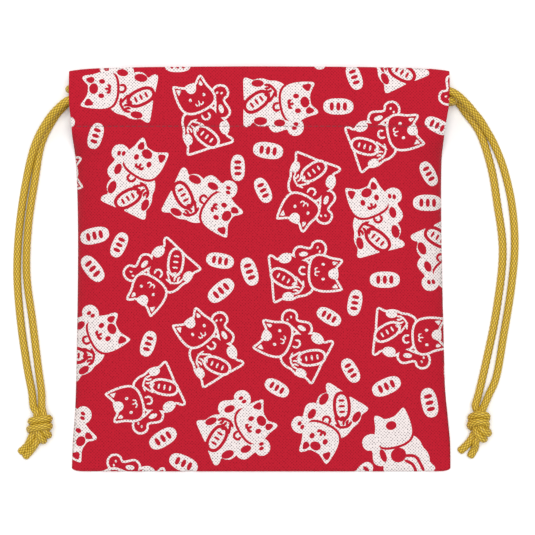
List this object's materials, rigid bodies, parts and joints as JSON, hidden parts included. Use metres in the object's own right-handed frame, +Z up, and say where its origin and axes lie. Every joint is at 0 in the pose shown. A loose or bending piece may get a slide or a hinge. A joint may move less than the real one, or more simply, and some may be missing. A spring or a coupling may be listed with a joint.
{
  "type": "kinchaku drawstring pouch",
  "caption": "Flat fabric drawstring pouch lying on its back, with a cord casing at the mouth and a knotted drawcord at each side.",
  "frame": {"origin": "middle of the cloth pouch's width and height, on the surface that it lies on", "axes": "+X across the pouch, +Y from the bottom fold towards the mouth, +Z up through the front panel"},
  "size_m": [0.2134, 0.17, 0.0138],
  "materials": {
    "printed_cotton": "woven cotton, printed",
    "gold_cord": "braided cord",
    "sewing_thread": "spun thread"
  },
  "bodies": {
    "root": {"pouch_cloth": "printed_cotton", "left_cord": "gold_cord", "right_cord": "gold_cord", "left_knot": "gold_cord", "right_knot": "gold_cord"}
  },
  "joints": []
}
